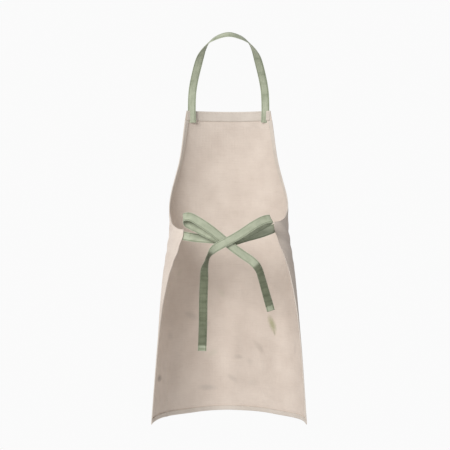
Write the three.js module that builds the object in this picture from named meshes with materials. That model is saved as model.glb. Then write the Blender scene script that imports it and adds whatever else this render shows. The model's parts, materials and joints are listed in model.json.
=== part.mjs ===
// An artist's canvas bib apron as it is worn: the panel wraps a waist from the front, a tape loop
// passes behind the neck, and two tape ties meet in a bow on the back.
// Millimetres. +Z is up, the front faces -Y and the wearer's left is +X. The origin is where the
// neck strap's inner side rests on the back of the neck.

import * as THREE from 'three';
import { mergeVertices } from 'three/addons/utils/BufferGeometryUtils.js';

// ---- the cut of the cloth, laid flat: s is measured sideways from the centre front ----
const CANVAS = 0.8;            // thickness of the panel's cloth
const HEM_TOP_Z = -193;        // upper edge of the bib
const CORNER_Z = -520;         // where the armhole ends and the side edge starts
const HEM_Z = -1031;           // lower edge of the skirt
const BIB_HALF = 124;          // half width of the bib at its upper edge
const CORNER_HALF = 318;       // half width at the tie corners
const SKIRT_HALF = 334;        // half width at the lower edge
const ARMHOLE_POWER = 0.44;    // how tightly the armhole curve turns out at the corner

// ---- hems, tape and clearances ----
const HEM_WIDTH = 12;          // side, armhole and lower hems
const BIB_HEM_WIDTH = 25;      // the deeper hem at the bib's upper edge
const HEM_THICK = 1.6;         // the two turned-in layers of a hem
const TAPE_WIDTH = 22;
const TAPE_THICK = 1.6;
const GAP = 0.6;               // between pieces that lie on each other
const PIVOT_GAP = 5;           // from a hinge line to the tape on each side of it

// ---- patch pocket on the front of the skirt ----
const POCKET_HALF = 150;
const POCKET_HEIGHT = 175;
const POCKET_DROP = 75;        // from the tie corners down to the pocket's mouth
const POCKET_BELLY = 16;       // how far the mouth stands open at its middle

// ---- the body that the cloth lies round, as ellipses: half width, half depth, centre y ----
const LEVELS = [
  { z: HEM_Z, width: 207, depth: 222, centre: -2 },
  { z: -808, width: 190, depth: 190, centre: -20 },
  { z: -650, width: 178, depth: 148, centre: -58 },
  { z: CORNER_Z - 10, width: 162, depth: 122, centre: -67 },
  { z: -430, width: 160, depth: 130, centre: -68 },
  { z: -318, width: 150, depth: 146, centre: -66 },
  { z: HEM_TOP_Z, width: 152, depth: 106, centre: -70 },
];
const HITCH = 20;              // how far the right-hand tie corner is pulled up
const DROOP = 6;               // how much lower the hem's corners hang than its middle

// ---- the bow ----
const KNOT_X = 7;
const KNOT_Z = CORNER_Z - 32;  // the ties drop a little from their corners to the knot
const KNOT_RADIUS = 16;
const KNOT_DEPTH = 24;
const KNOT_ROUND = 6;
const KNOT_BACK = 4.4;         // from the body's back to the knot's inner face
const LOOP_START = 4;          // from the knot's side to the tape of a loop or tail

const CANVAS_LOOK = { color: 0xd8cbbd, roughness: 0.95, metalness: 0 };
const HEM_LOOK = { color: 0xcbbfb2, roughness: 0.95, metalness: 0 };
const TAPE_LOOK = { color: 0xa9b292, roughness: 0.9, metalness: 0 };

const KNOT = new THREE.Vector3(
  KNOT_X,
  bodyAt(KNOT_Z, 'centre') + bodyAt(KNOT_Z, 'depth') + KNOT_BACK + KNOT_DEPTH / 2,
  KNOT_Z,
);

// A smooth value between the levels of the body.
function bodyAt(z, key) {
  const last = LEVELS.length - 1;
  let i = 0;
  while (i < last - 1 && z > LEVELS[i + 1].z) i += 1;
  const slope = (j) => {
    const lo = LEVELS[Math.max(j - 1, 0)];
    const hi = LEVELS[Math.min(j + 1, last)];
    return (hi[key] - lo[key]) / (hi.z - lo.z);
  };
  const span = LEVELS[i + 1].z - LEVELS[i].z;
  const t = (z - LEVELS[i].z) / span;
  const t2 = t * t;
  const t3 = t2 * t;
  return (2 * t3 - 3 * t2 + 1) * LEVELS[i][key] + (t3 - 2 * t2 + t) * span * slope(i)
    + (3 * t2 - 2 * t3) * LEVELS[i + 1][key] + (t3 - t2) * span * slope(i + 1);
}

// The angle round the ellipse, from the centre front, that an arc of length s reaches.
const ARC_STEPS = 240;
function angleAt(s, width, depth) {
  let run = 0;
  const step = Math.PI / ARC_STEPS;
  for (let i = 0; i < ARC_STEPS; i += 1) {
    const mid = (i + 0.5) * step;
    const piece = Math.hypot(width * Math.cos(mid), depth * Math.sin(mid)) * step;
    if (run + piece >= s) return (i + (s - run) / piece) * step;
    run += piece;
  }
  return Math.PI;
}

// Half the way round the ellipse, from the centre front to the centre back.
function halfGirth(width, depth) {
  let run = 0;
  const step = Math.PI / ARC_STEPS;
  for (let i = 0; i < ARC_STEPS; i += 1) {
    const mid = (i + 0.5) * step;
    run += Math.hypot(width * Math.cos(mid), depth * Math.sin(mid)) * step;
  }
  return run;
}

function halfCut(z) {
  if (z <= CORNER_Z) {
    const t = (CORNER_Z - z) / (CORNER_Z - HEM_Z);
    return CORNER_HALF + (SKIRT_HALF - CORNER_HALF) * t;
  }
  const up = Math.min((z - CORNER_Z) / (HEM_TOP_Z - CORNER_Z), 1);
  return CORNER_HALF - (CORNER_HALF - BIB_HALF) * up ** ARMHOLE_POWER;
}

function smooth(t) {
  const c = Math.min(Math.max(t, 0), 1);
  return c * c * (3 - 2 * c);
}

// The right-hand side is pulled up towards its tie, less and less towards the hem and the bib.
function hitchAt(s, z) {
  const side = smooth((-s - 0.35 * CORNER_HALF) / (0.65 * CORNER_HALF));
  const below = smooth((z - HEM_Z) / (CORNER_Z - HEM_Z));
  const above = 1 - smooth((z - CORNER_Z) / (HEM_TOP_Z - CORNER_Z));
  return HITCH * side * Math.min(below, above);
}

// The skirt's lower corners hang down a little, less and less towards the waist.
function droopAt(s, z) {
  const low = smooth((CORNER_Z - z) / (CORNER_Z - HEM_Z));
  return DROOP * low * Math.sin((Math.PI / 2) * Math.min(Math.abs(s) / SKIRT_HALF, 1));
}

function onBody(s, z) {
  const width = bodyAt(z, 'width');
  const depth = bodyAt(z, 'depth');
  const angle = angleAt(Math.abs(s), width, depth);
  const x = Math.sign(s) * width * Math.sin(angle);
  const y = bodyAt(z, 'centre') - depth * Math.cos(angle);
  return new THREE.Vector3(x, y, z + hitchAt(s, z) - droopAt(s, z));
}

// A point of the cloth, at a distance outwards from its middle layer.
function onCloth(s, z, out) {
  const tick = 1;
  const across = onBody(s + tick, z).sub(onBody(s - tick, z));
  const up = onBody(s, z + tick).sub(onBody(s, z - tick));
  const outward = across.cross(up).normalize();
  return onBody(s, z).addScaledVector(outward, out);
}

// A closed solid from a grid of points on its outer and its inner side.
function slab(outer, inner) {
  const rows = outer.length;
  const cols = outer[0].length;
  const positions = [];
  const triangles = [];
  for (const side of [outer, inner]) {
    for (const row of side) for (const p of row) positions.push(p.x, p.y, p.z);
  }
  const at = (side, i, j) => side * rows * cols + i * cols + j;
  const quad = (a, b, c, d) => triangles.push(a, b, c, a, c, d);
  for (let i = 0; i < rows - 1; i += 1) {
    for (let j = 0; j < cols - 1; j += 1) {
      quad(at(0, i, j), at(0, i, j + 1), at(0, i + 1, j + 1), at(0, i + 1, j));
      quad(at(1, i, j), at(1, i + 1, j), at(1, i + 1, j + 1), at(1, i, j + 1));
    }
  }
  for (let j = 0; j < cols - 1; j += 1) {
    const top = rows - 1;
    quad(at(0, 0, j), at(1, 0, j), at(1, 0, j + 1), at(0, 0, j + 1));
    quad(at(0, top, j + 1), at(1, top, j + 1), at(1, top, j), at(0, top, j));
  }
  for (let i = 0; i < rows - 1; i += 1) {
    const end = cols - 1;
    quad(at(0, i + 1, 0), at(1, i + 1, 0), at(1, i, 0), at(0, i, 0));
    quad(at(0, i, end), at(1, i, end), at(1, i + 1, end), at(0, i + 1, end));
  }
  const geometry = new THREE.BufferGeometry();
  geometry.setAttribute('position', new THREE.Float32BufferAttribute(positions, 3));
  geometry.setIndex(triangles);
  return geometry;
}

// A piece of cloth that lies on the body: a grid of flat [s, z] points between two depths.
function clothPiece(rows, innerAt, outerAt) {
  const side = (out) => rows.map((row) => row.map(([s, z]) => onCloth(s, z, out(s, z))));
  return slab(side(outerAt), side(innerAt));
}

const level = (value) => () => value;
const FACE = CANVAS / 2;                       // the panel's outer face
const BACK = -CANVAS / 2;                      // the panel's inner face
const HEM_OUT = BACK - GAP;
const HEM_IN = HEM_OUT - HEM_THICK;
const TAPE_OUT = HEM_IN - GAP;
const TAPE_IN = TAPE_OUT - TAPE_THICK;

const parts = new THREE.Group();
function add(name, geometry, look) {
  const mesh = new THREE.Mesh(geometry, new THREE.MeshStandardMaterial(look));
  mesh.name = name;
  parts.add(mesh);
  return mesh;
}

// ---- canvas panel: one cut of cloth, bib and skirt together ----
const SKIRT_ROWS = 13;
const BIB_ROWS = 24;
const PANEL_COLS = 64;
const ARMHOLE_BUNCH = 2.3;                     // rows crowd towards the corner
function armholeZ(t) {
  return CORNER_Z + (HEM_TOP_Z - CORNER_Z) * t ** ARMHOLE_BUNCH;
}
function panelLevels() {
  const levels = [];
  for (let i = 0; i < SKIRT_ROWS; i += 1) levels.push(HEM_Z + (CORNER_Z - HEM_Z) * (i / SKIRT_ROWS));
  for (let i = 0; i <= BIB_ROWS; i += 1) levels.push(armholeZ(i / BIB_ROWS));
  return levels;
}
function acrossRow(z, from, to, cols) {
  return Array.from({ length: cols + 1 }, (_, j) => [from + (to - from) * (j / cols), z]);
}
const panelRows = panelLevels().map((z) => acrossRow(z, -halfCut(z), halfCut(z), PANEL_COLS));
add('apron_panel', clothPiece(panelRows, level(BACK), level(FACE)), CANVAS_LOOK);

// ---- hems: the edges turned in twice, lying on the panel's inner face ----
function bandRows(zs, from, to, cols) {
  return zs.map((z) => acrossRow(z, from(z), to(z), cols));
}
function steps(from, to, count) {
  return Array.from({ length: count + 1 }, (_, i) => from + (to - from) * (i / count));
}
const bottomRows = bandRows([HEM_Z, HEM_Z + HEM_WIDTH], (z) => -halfCut(z), halfCut, PANEL_COLS);
add('bottom_hem', clothPiece(bottomRows, level(HEM_IN), level(HEM_OUT)), HEM_LOOK);

const bibHemRows = bandRows([HEM_TOP_Z - BIB_HEM_WIDTH, HEM_TOP_Z], () => -BIB_HALF, () => BIB_HALF, 16);
add('bib_top_hem', clothPiece(bibHemRows, level(HEM_IN), level(HEM_OUT)), HEM_LOOK);

// The armhole's edge in the flat cut, and the hem's width set off square to it.
function armholeEdge(t) {
  const z = armholeZ(t);
  return new THREE.Vector2(halfCut(z), z);
}
function armholeHemRows(side) {
  const rows = [];
  const count = 26;
  const stop = ((HEM_TOP_Z - BIB_HEM_WIDTH - GAP - CORNER_Z) / (HEM_TOP_Z - CORNER_Z)) ** (1 / ARMHOLE_BUNCH);
  const tick = 0.004;
  for (let i = 0; i <= count; i += 1) {
    const t = (stop * i) / count;
    const edge = armholeEdge(t);
    const along = armholeEdge(t + tick).sub(armholeEdge(Math.max(t - tick, 0))).normalize();
    const lean = Math.min(t / 0.1, 1);
    const inward = new THREE.Vector2(along.y, -along.x).multiplyScalar(-1);
    inward.lerp(new THREE.Vector2(0, -1), 1 - lean).normalize();
    if (i === count) inward.set(-1, 0);
    const inner = edge.clone().addScaledVector(inward, HEM_WIDTH);
    const pair = [[side * inner.x, inner.y], [side * edge.x, edge.y]];
    rows.push(side > 0 ? pair : pair.reverse());
  }
  return rows;
}
for (const [name, side] of [['left', 1], ['right', -1]]) {
  add(`${name}_armhole_hem`, clothPiece(armholeHemRows(side), level(HEM_IN), level(HEM_OUT)), HEM_LOOK);

  const low = HEM_Z + HEM_WIDTH + GAP;
  const high = CORNER_Z - HEM_WIDTH - GAP;
  const near = side > 0 ? (z) => halfCut(z) - HEM_WIDTH : (z) => -halfCut(z);
  const far = side > 0 ? halfCut : (z) => -halfCut(z) + HEM_WIDTH;
  const between = panelLevels().filter((z) => z > low + 1 && z < high - 1);
  const sideRows = bandRows([low, ...between, high], near, far, 1);
  add(`${name}_side_hem`, clothPiece(sideRows, level(HEM_IN), level(HEM_OUT)), HEM_LOOK);
}

// ---- patch pocket: sewn on three sides, its mouth standing a little open ----
const pocketMouth = CORNER_Z - POCKET_DROP;
const pocketFoot = pocketMouth - POCKET_HEIGHT;
function pocketStandoff(s, z) {
  const sideways = Math.max(0, 1 - (s / POCKET_HALF) ** 2);
  const upwards = smooth((z - pocketFoot) / POCKET_HEIGHT);
  return FACE + GAP + POCKET_BELLY * sideways * upwards;
}
const pocketRows = bandRows(steps(pocketFoot, pocketMouth, 10), () => -POCKET_HALF, () => POCKET_HALF, 24);
add('patch_pocket', clothPiece(
  pocketRows,
  pocketStandoff,
  (s, z) => pocketStandoff(s, z) + CANVAS,
), CANVAS_LOOK);

// ---- tape: a flat ribbon along a route, each point with the way its width lies ----
function ribbon(route, count) {
  const path = new THREE.CatmullRomCurve3(route.map((r) => new THREE.Vector3(...r.at)), false, 'centripetal');
  const turn = new THREE.CatmullRomCurve3(route.map((r) => new THREE.Vector3(...r.across)));
  const outer = [];
  const inner = [];
  for (let i = 0; i <= count; i += 1) {
    const t = i / count;
    const at = path.getPoint(t);
    const along = path.getTangent(t);
    const across = turn.getPoint(t).addScaledVector(along, -along.dot(turn.getPoint(t))).normalize();
    const out = new THREE.Vector3().crossVectors(across, along).normalize();
    const edge = (sideways, off) => at.clone()
      .addScaledVector(across, (sideways * TAPE_WIDTH) / 2)
      .addScaledVector(out, (off * TAPE_THICK) / 2);
    outer.push([edge(-1, 1), edge(1, 1)]);
    inner.push([edge(-1, -1), edge(1, -1)]);
  }
  return slab(outer, inner);
}

// ---- waist ties: each starts sewn inside its corner and follows the waist to the knot ----
const TIE_SEAM = 28;                           // length of tape sewn down at the corner
const TIE_DROP = 5;                            // from the armhole's end down to the tape
const TIE_STEPS = 14;
const KNOT_CLEAR = 1;                          // half the gap between the two ties under the knot
function tieRows(side) {
  const start = CORNER_HALF - TIE_SEAM;
  const startZ = CORNER_Z - TIE_DROP - TAPE_WIDTH / 2;
  const stop = halfGirth(bodyAt(KNOT.z, 'width'), bodyAt(KNOT.z, 'depth')) - KNOT_CLEAR;
  const rows = [];
  for (let i = 0; i <= TIE_STEPS; i += 1) {
    const s = start + ((stop - start) * i) / TIE_STEPS;
    const loose = Math.max(0, (s - CORNER_HALF) / (stop - CORNER_HALF));
    const hitched = side < 0 ? HITCH * (1 - loose) - hitchAt(-s, startZ) : 0;
    const z = startZ + (KNOT.z - startZ) * loose + hitched;
    const low = [side * s, z - TAPE_WIDTH / 2];
    const high = [side * s, z + TAPE_WIDTH / 2];
    rows.push([low, high]);
  }
  return side > 0 ? rows : rows.reverse();
}
function turned(rows) {
  return rows[0].map((_, j) => rows.map((row) => row[j]));
}
for (const [name, side] of [['left', 1], ['right', -1]]) {
  const rows = turned(tieRows(side));
  add(`${name}_tie_band`, clothPiece(rows, level(TAPE_IN), level(TAPE_OUT)), TAPE_LOOK);
}

// ---- neck strap: its two ends are sewn inside the bib's upper hem ----
const STRAP_SEAM = 30;                         // length of tape sewn down at each end
const STRAP_INSET = 4;                         // from the bib's side edge
const strapCentre = BIB_HALF - STRAP_INSET - TAPE_WIDTH / 2;
for (const [name, side] of [['left', 1], ['right', -1]]) {
  const mid = side * strapCentre;
  const rows = bandRows(
    steps(HEM_TOP_Z - STRAP_SEAM, HEM_TOP_Z, 2),
    () => mid - TAPE_WIDTH / 2,
    () => mid + TAPE_WIDTH / 2,
    3,
  );
  add(`${name}_strap_end`, clothPiece(rows, level(TAPE_IN), level(TAPE_OUT)), TAPE_LOOK);
}
const strapFoot = onCloth(strapCentre, HEM_TOP_Z, (TAPE_IN + TAPE_OUT) / 2);
const STRAP_HINGE = strapFoot.clone().add(new THREE.Vector3(0, 0, PIVOT_GAP));
const strapRise = new THREE.Vector3(-0.12, 0.45, 0.88).normalize();
const strapStart = STRAP_HINGE.clone().addScaledVector(strapRise, PIVOT_GAP);
const NECK_BACK = new THREE.Vector3(0, 5.3, -4);  // its inner side passes through the origin
const strapSide = [
  { at: strapStart.toArray(), across: [1, 0, 0] },
  { at: [100, -150, -135], across: [1, 0.1, 0.05] },
  { at: [84, -104, -70], across: [0.95, 0.2, 0.1] },
  { at: [70, -60, -38], across: [0.72, 0.3, -0.4] },
  { at: [52, -21, -20], across: [0.5, 0.5, -0.6] },
  { at: [27, -1, -9], across: [0.22, 0.68, -0.66] },
];
const strapRoute = [
  ...strapSide,
  { at: NECK_BACK.toArray(), across: [0, 0.75, -0.66] },
  ...strapSide.map(({ at, across }) => ({
    at: [-at[0], at[1], at[2]],
    across: [-across[0], across[1], across[2]],
  })).reverse(),
];
add('neck_strap', ribbon(strapRoute, 72), TAPE_LOOK);

// ---- bow: a knot with two loops and two tails, in layers one behind the other ----
const knotProfile = [new THREE.Vector2(0, -KNOT_DEPTH / 2)];
const ROUND_STEPS = 5;
for (let i = 0; i <= ROUND_STEPS; i += 1) {
  const a = (Math.PI / 2) * (i / ROUND_STEPS);
  knotProfile.push(new THREE.Vector2(
    KNOT_RADIUS - KNOT_ROUND + KNOT_ROUND * Math.sin(a),
    -KNOT_DEPTH / 2 + KNOT_ROUND - KNOT_ROUND * Math.cos(a),
  ));
}
for (let i = ROUND_STEPS; i >= 0; i -= 1) {
  const a = (Math.PI / 2) * (i / ROUND_STEPS);
  knotProfile.push(new THREE.Vector2(
    KNOT_RADIUS - KNOT_ROUND + KNOT_ROUND * Math.sin(a),
    KNOT_DEPTH / 2 - KNOT_ROUND + KNOT_ROUND * Math.cos(a),
  ));
}
knotProfile.push(new THREE.Vector2(0, KNOT_DEPTH / 2));
const knotTurned = new THREE.LatheGeometry(knotProfile, 28);
knotTurned.deleteAttribute('normal');
knotTurned.deleteAttribute('uv');
add('bow_knot', mergeVertices(knotTurned), TAPE_LOOK).position.copy(KNOT);

const LOOP_IN = -5;                            // the layer that comes back to the knot
const TAIL_LEFT = 9;
const TAIL_RIGHT = 3;

// Places on the bow: sideways and up from the knot, and back from its centre.
function fromKnot(x, back, up) {
  return [KNOT.x + x, KNOT.y + back, KNOT.z + up];
}
// The end of a loop or tail, beside the knot's rim, at an angle up from the wearer's left.
function fromRim(degrees, back) {
  const a = THREE.MathUtils.degToRad(degrees);
  const reach = KNOT_RADIUS + LOOP_START;
  return fromKnot(reach * Math.cos(a), back, reach * Math.sin(a));
}
const leftLoop = [
  { at: fromRim(39, TAIL_RIGHT), across: [-0.58, 0, 0.82] },
  { at: fromKnot(38, TAIL_RIGHT + 2, 31), across: [-0.6, 0, 0.8] },
  { at: fromKnot(72, TAIL_RIGHT + 3, 54), across: [-0.5, -0.1, 0.86] },
  { at: fromKnot(97, TAIL_RIGHT, 66), across: [-0.25, -0.2, 0.95] },
  { at: fromKnot(111, -6, 63), across: [0, -0.25, 0.97] },
  { at: fromKnot(106, -14, 52), across: [0.2, -0.2, 0.97] },
  { at: fromKnot(72, -13, 33), across: [-0.35, 0, 0.93] },
  { at: fromKnot(40, -9, 17), across: [-0.45, 0, 0.9] },
  { at: fromRim(20, LOOP_IN), across: [-0.4, 0, 0.92] },
];
const rightLoop = [
  { at: fromRim(152, TAIL_LEFT), across: [0.5, 0, 0.86] },
  { at: fromKnot(-42, TAIL_LEFT + 3, 24), across: [0.55, 0, 0.83] },
  { at: fromKnot(-72, TAIL_LEFT + 3, 44), across: [0.55, 0, 0.83] },
  { at: fromKnot(-100, TAIL_LEFT - 4, 58), across: [0.5, -0.1, 0.85] },
  { at: fromKnot(-116, -2, 60), across: [0.45, -0.2, 0.87] },
  { at: fromKnot(-109, -12, 52), across: [0.4, 0, 0.9] },
  { at: fromKnot(-76, -13, 32), across: [0.4, 0, 0.9] },
  { at: fromKnot(-42, -9, 15), across: [0.4, 0, 0.9] },
  { at: fromRim(165, LOOP_IN), across: [0.35, 0, 0.93] },
];
const leftTail = [
  { at: fromRim(-28, TAIL_LEFT), across: [0.5, 0, 0.86] },
  { at: fromKnot(32, TAIL_LEFT, -19), across: [0.45, 0.35, 0.8] },
  { at: fromKnot(44, TAIL_LEFT - 1, -34), across: [0.3, 0.85, 0.4] },
  { at: fromKnot(51, TAIL_LEFT - 1, -52), across: [0.45, 0.85, 0.2] },
  { at: fromKnot(56, TAIL_LEFT - 1, -72), across: [0.85, 0.5, 0.15] },
  { at: fromKnot(57, TAIL_LEFT - 1, -98), across: [0.97, 0.22, 0.05] },
  { at: fromKnot(59, TAIL_LEFT - 1, -150), across: [1, 0, 0] },
  { at: fromKnot(60, TAIL_LEFT - 1, -215), across: [1, 0, 0] },
  { at: fromKnot(62, TAIL_LEFT - 1, -281), across: [1, 0.05, 0.03] },
];
const rightTail = [
  { at: fromRim(219, TAIL_RIGHT), across: [-0.6, 0, 0.8] },
  { at: fromKnot(-42, TAIL_RIGHT, -32), across: [-0.6, 0, 0.8] },
  { at: fromKnot(-70, TAIL_RIGHT, -52), across: [-0.62, 0, 0.78] },
  { at: fromKnot(-84, TAIL_RIGHT, -70), across: [-0.75, -0.45, 0.5] },
  { at: fromKnot(-93, TAIL_RIGHT, -97), across: [-0.85, -0.5, 0.3] },
  { at: fromKnot(-105, TAIL_RIGHT - 1, -140), across: [-0.9, -0.4, 0.27] },
  { at: fromKnot(-116, TAIL_RIGHT - 2, -178), across: [-0.93, -0.3, 0.27] },
];
add('left_bow_loop', ribbon(leftLoop, 48), TAPE_LOOK);
add('right_bow_loop', ribbon(rightLoop, 48), TAPE_LOOK);
add('left_tail', ribbon(leftTail, 48), TAPE_LOOK);
add('right_tail', ribbon(rightTail, 40), TAPE_LOOK);

export default parts;
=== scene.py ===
import json
import math

import bpy
import numpy as np
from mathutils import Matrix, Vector


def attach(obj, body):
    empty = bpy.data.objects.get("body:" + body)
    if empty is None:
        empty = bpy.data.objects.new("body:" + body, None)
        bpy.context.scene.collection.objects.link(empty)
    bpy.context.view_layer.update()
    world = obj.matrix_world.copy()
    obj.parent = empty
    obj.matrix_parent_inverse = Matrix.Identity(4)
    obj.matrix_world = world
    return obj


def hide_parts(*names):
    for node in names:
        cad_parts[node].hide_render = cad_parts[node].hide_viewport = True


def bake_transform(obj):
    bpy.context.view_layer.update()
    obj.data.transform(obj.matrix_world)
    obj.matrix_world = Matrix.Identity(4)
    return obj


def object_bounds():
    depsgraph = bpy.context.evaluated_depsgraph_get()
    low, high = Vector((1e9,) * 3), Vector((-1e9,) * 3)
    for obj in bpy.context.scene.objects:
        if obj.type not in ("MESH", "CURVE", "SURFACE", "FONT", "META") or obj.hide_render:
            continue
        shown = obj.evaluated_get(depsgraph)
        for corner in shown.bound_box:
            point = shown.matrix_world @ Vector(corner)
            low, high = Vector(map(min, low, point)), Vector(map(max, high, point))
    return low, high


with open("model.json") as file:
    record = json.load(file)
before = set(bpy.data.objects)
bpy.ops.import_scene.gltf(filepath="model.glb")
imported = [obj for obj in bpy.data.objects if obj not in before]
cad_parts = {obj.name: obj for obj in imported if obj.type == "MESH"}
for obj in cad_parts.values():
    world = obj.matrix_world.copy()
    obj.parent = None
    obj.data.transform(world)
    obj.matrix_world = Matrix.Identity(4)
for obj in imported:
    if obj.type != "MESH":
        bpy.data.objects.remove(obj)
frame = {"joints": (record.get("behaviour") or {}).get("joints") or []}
cad_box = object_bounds()

# ---------------------------------------------------------------------------------------------
# The room: a pale floor a little under the hem, soft light from the upper left of the back, and
# a level camera behind the wearer at the height of the bow.
# ---------------------------------------------------------------------------------------------
scene = bpy.context.scene
scene.view_settings.view_transform = "Standard"

EYE_DISTANCE = 3.14
EYE_HEIGHT = -0.508
EYE_SIDE = 0.010
EYE_LENS = 94.8
EYE_WIDTH = 36.0
lens = bpy.data.cameras.new("eye")
lens.lens = EYE_LENS
lens.sensor_width = EYE_WIDTH
eye = bpy.data.objects.new("eye", lens)
eye.location = (EYE_SIDE, EYE_DISTANCE, EYE_HEIGHT)
eye.rotation_euler = (math.radians(90), 0, math.radians(180))
scene.collection.objects.link(eye)
scene.camera = eye

# The wall behind is white to the eye, and gives the apron less light than it shows.
WHITE_WALL = 0.96
ROOM_LIGHT = 0.44
world = bpy.data.worlds.new("studio")
scene.world = world
world.use_nodes = True
background = world.node_tree.nodes["Background"]
background.inputs["Color"].default_value = (1.0, 1.0, 1.0, 1)
seen = world.node_tree.nodes.new("ShaderNodeLightPath")
wall = world.node_tree.nodes.new("ShaderNodeMapRange")
wall.inputs["To Min"].default_value = ROOM_LIGHT
wall.inputs["To Max"].default_value = WHITE_WALL
world.node_tree.links.new(seen.outputs["Is Camera Ray"], wall.inputs["Value"])
world.node_tree.links.new(wall.outputs["Result"], background.inputs["Strength"])

FLOOR_DROP = 0.55
FLOOR_SIZE = 4.4
FLOOR_PAINT = (0.9, 0.9, 0.9, 1)
bpy.ops.object.select_all(action="DESELECT")
bpy.ops.mesh.primitive_plane_add(size=FLOOR_SIZE, location=(0, 0, cad_box[0][2] - FLOOR_DROP))
floor = bpy.context.object
floor.name = "floor"
floor_look = bpy.data.materials.new("pale_floor")
floor_look.use_nodes = True
floor_shader = floor_look.node_tree.nodes["Principled BSDF"]
floor_shader.inputs["Base Color"].default_value = FLOOR_PAINT
floor_shader.inputs["Roughness"].default_value = 1.0
floor.data.materials.append(floor_look)


LIGHT_AIM = (0, 0, -0.5)


def softbox(name, place, size, power):
    light = bpy.data.lights.new(name, "AREA")
    light.shape = "SQUARE"
    light.size = size
    light.energy = power
    lamp = bpy.data.objects.new(name, light)
    lamp.location = place
    lamp.rotation_euler = (Vector(LIGHT_AIM) - Vector(place)).to_track_quat("-Z", "Y").to_euler()
    scene.collection.objects.link(lamp)


softbox("key_light", (1.5, 2.9, 1.0), size=1.3, power=96)
softbox("front_fill", (1.5, -3.0, 0.6), size=2.0, power=46)

# ---------------------------------------------------------------------------------------------
# Canvas panel: bib and skirt are one cut of natural cotton canvas, worn round the front of the
# body. It follows the body as ellipses from hem to bib and falls in soft folds below the waist.
# ---------------------------------------------------------------------------------------------
# Sizes are in millimetres. Places on the cloth are s, round from the centre front, and height z.
MM = 0.001
CANVAS = 0.8
HEM_TOP_Z = -193.0
CORNER_Z = -520.0
HEM_Z = -1031.0
BIB_HALF = 124.0
CORNER_HALF = 318.0
SKIRT_HALF = 334.0
ARMHOLE_POWER = 0.44
ARMHOLE_SPREAD = 2.3
# The right tie corner is hitched up, and the skirt's sides hang lower towards the hem.
HITCH = 20.0
HITCH_START = 0.35
DROOP = 6.0
# The body that the cloth lies on: height, half width, half depth and centre y.
LEVELS = np.array([
    (HEM_Z, 207, 222, -2),
    (-808, 190, 190, -20),
    (-650, 178, 148, -58),
    (CORNER_Z - 10, 162, 122, -67),
    (-430, 160, 130, -68),
    (-318, 150, 146, -66),
    (HEM_TOP_Z, 152, 106, -70),
], float)


def smooth(t):
    c = np.clip(t, 0, 1)
    return c * c * (3 - 2 * c)


def body_at(z, column):
    """A smooth value between the levels of the body."""
    heights, values = LEVELS[:, 0], LEVELS[:, column]
    last = len(heights) - 1
    i = np.clip(np.searchsorted(heights, z, side="left") - 1, 0, last - 1)
    lo, hi = np.maximum(np.arange(last + 1) - 1, 0), np.minimum(np.arange(last + 1) + 1, last)
    slope = (values[hi] - values[lo]) / (heights[hi] - heights[lo])
    span = heights[i + 1] - heights[i]
    t = (z - heights[i]) / span
    return (
        (2 * t**3 - 3 * t**2 + 1) * values[i]
        + (t**3 - 2 * t**2 + t) * span * slope[i]
        + (3 * t**2 - 2 * t**3) * values[i + 1]
        + (t**3 - t**2) * span * slope[i + 1]
    )


ARC_STEPS = 240


def angle_at(s, width, depth):
    """The angle round an ellipse, from the centre front, that an arc of length s reaches."""
    step = math.pi / ARC_STEPS
    mid = (np.arange(ARC_STEPS) + 0.5) * step
    arc = np.hypot(width[:, None] * np.cos(mid), depth[:, None] * np.sin(mid)) * step
    run = np.concatenate([np.zeros((len(s), 1)), np.cumsum(arc, axis=1)], axis=1)
    i = np.clip((run < s[:, None]).sum(axis=1) - 1, 0, ARC_STEPS - 1)
    rows = np.arange(len(s))
    part = (s - run[rows, i]) / arc[rows, i]
    return (i + part) * step


def half_cut(z):
    """Half the width of the flat cut at a height: skirt below the tie corners, armholes above."""
    z = np.asarray(z, float)
    below = np.clip((CORNER_Z - z) / (CORNER_Z - HEM_Z), 0, 1)
    above = np.clip((z - CORNER_Z) / (HEM_TOP_Z - CORNER_Z), 0, 1)
    skirt = CORNER_HALF + (SKIRT_HALF - CORNER_HALF) * below
    return np.where(z <= CORNER_Z, skirt, CORNER_HALF - (CORNER_HALF - BIB_HALF) * above**ARMHOLE_POWER)


def hitch_at(s, z):
    side = smooth((-s - HITCH_START * CORNER_HALF) / ((1 - HITCH_START) * CORNER_HALF))
    below = smooth((z - HEM_Z) / (CORNER_Z - HEM_Z))
    above = 1 - smooth((z - CORNER_Z) / (HEM_TOP_Z - CORNER_Z))
    return HITCH * side * np.minimum(below, above)


def droop_at(s, z):
    low = smooth((CORNER_Z - z) / (CORNER_Z - HEM_Z))
    return DROOP * low * np.sin(math.pi / 2 * np.minimum(np.abs(s) / SKIRT_HALF, 1))


def fold_at(s, z):
    """How far the cloth stands off the body, in soft folds that open towards the hem."""
    fall = smooth((CORNER_Z - 40 - z) / 420)
    deep = 3.2 * np.cos(s / 41 + 0.6) * smooth(np.abs(s) / 160) + 1.4 * np.cos(s / 23 - z / 260)
    crease = 2.2 * np.exp(-(((s - 206 - (z + 900) * 0.03) / 7) ** 2)) * smooth((-820 - z) / 60)
    near_tie = np.exp(-(((np.abs(s) - CORNER_HALF + 30) / 70) ** 2) - ((z - CORNER_Z + 30) / 60) ** 2)
    pulled = 1.6 * near_tie * np.cos((z - CORNER_Z + (CORNER_HALF - np.abs(s)) * 0.45) / 6.5)
    bib = 1.5 * smooth((z - CORNER_Z - 30) / 120) * np.cos(s / 47 + z / 90)
    waist = 1.1 * np.exp(-(((z - CORNER_Z + 4) / 34) ** 2)) * np.cos(s / 15 + 1.1 * np.sin(z / 17))
    return fall * deep - crease + pulled + bib + waist * smooth(np.abs(s) / 140)


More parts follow.
